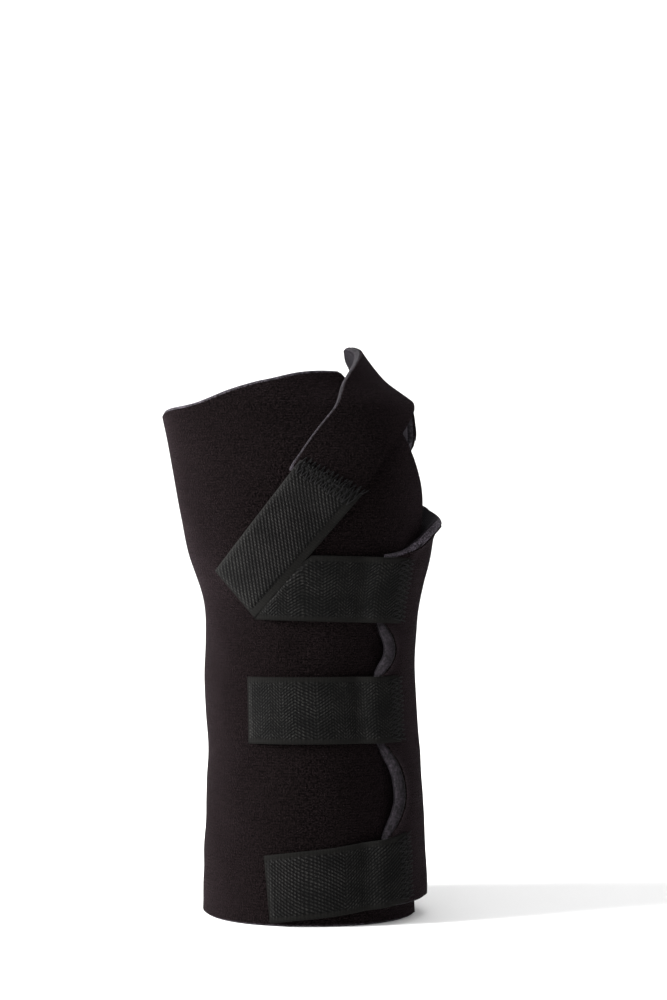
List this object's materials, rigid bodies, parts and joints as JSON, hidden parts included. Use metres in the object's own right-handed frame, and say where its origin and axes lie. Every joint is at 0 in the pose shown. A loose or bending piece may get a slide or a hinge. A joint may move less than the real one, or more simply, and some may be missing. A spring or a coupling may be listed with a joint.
{
  "type": "wrist splint",
  "caption": "Black wraparound neoprene wrist splint for a left hand, closed on the back with hook straps, with a strap through the thumb web and a flat metal stay along the palm.",
  "frame": {"origin": "middle of the forearm opening, in the plane of the square-cut rim that the splint stands on", "axes": "+Z from the forearm to the fingers, -Y the back of the hand where the straps close, +X the thumb side"},
  "size_m": [0.0893, 0.0637, 0.18],
  "materials": {
    "loop_fabric": "brushed nylon loop, napped",
    "neoprene_foam": "cut foam",
    "lining": "smooth grey jersey",
    "hook_tape": "woven nylon tape",
    "hooks": "moulded hooks",
    "thread": "twisted sewing thread",
    "pocket_fabric": "plain woven nylon",
    "binding": "ribbed binding tape",
    "stay_metal": "rolled, edges tumbled",
    "vinyl": "dipped vinyl, satin"
  },
  "bodies": {
    "wrap": {"wrap_face": "loop_fabric", "wrap_foam": "neoprene_foam", "wrap_lining": "lining", "stay_pocket": "pocket_fabric", "pocket_hem": "binding", "pocket_stitching": "thread"},
    "stay": {"palmar_stay": "stay_metal", "stay_cap_upper": "vinyl", "stay_cap_lower": "vinyl"},
    "flap": {"flap_face": "loop_fabric", "flap_foam": "neoprene_foam", "flap_lining": "lining", "upper_strap_base": "hook_tape", "middle_strap_base": "hook_tape", "lower_strap_base": "hook_tape", "upper_strap_stitching": "thread", "middle_strap_stitching": "thread", "lower_strap_stitching": "thread"},
    "upper_strap": {"upper_strap_tail": "hook_tape", "upper_strap_hooks": "hooks"},
    "middle_strap": {"middle_strap_tail": "hook_tape", "middle_strap_hooks": "hooks"},
    "lower_strap": {"lower_strap_tail": "hook_tape", "lower_strap_hooks": "hooks"},
    "web_strap": {"web_strap_face": "loop_fabric", "web_strap_foam": "neoprene_foam", "web_strap_lining": "lining", "web_tab_base": "hook_tape", "web_tab_stitching": "thread"},
    "web_tab": {"web_tab_tail": "hook_tape", "web_tab_hooks": "hooks"}
  },
  "joints": [
    {"name": "flap_fold", "type": "hinge", "parent": "wrap", "child": "flap", "pos_m": [0.0285, 0.0206, 0.065], "axis": [0, 0, 1], "range_deg": [0, 110]},
    {"name": "upper_strap_peel", "type": "hinge", "parent": "flap", "child": "upper_strap", "pos_m": [0.0245, -0.0196, 0.1025], "axis": [0.117, -0.146, 0.9823], "range_deg": [0, 150]},
    {"name": "middle_strap_peel", "type": "hinge", "parent": "flap", "child": "middle_strap", "pos_m": [0.02285, -0.0188, 0.0653], "axis": [-0.041, 0.121, 0.9918], "range_deg": [0, 150]},
    {"name": "lower_strap_peel", "type": "hinge", "parent": "flap", "child": "lower_strap", "pos_m": [0.025, -0.02505, 0.016], "axis": [-0.032, 0.0999, 0.9945], "range_deg": [0, 150]},
    {"name": "web_strap_fold", "type": "hinge", "parent": "wrap", "child": "web_strap", "pos_m": [0.02185, 0.0085, 0.171], "axis": [-0.6801, 0.108, 0.7251], "range_deg": [0, 120]},
    {"name": "web_tab_peel", "type": "hinge", "parent": "web_strap", "child": "web_tab", "pos_m": [0.0051, -0.0258, 0.135], "axis": [-0.9145, -0.018, 0.4042], "range_deg": [0, 150]},
    {"name": "stay_slide", "type": "slide", "parent": "wrap", "child": "stay", "axis": [0, 0, 1], "range_m": [0, 0.13]}
  ]
}
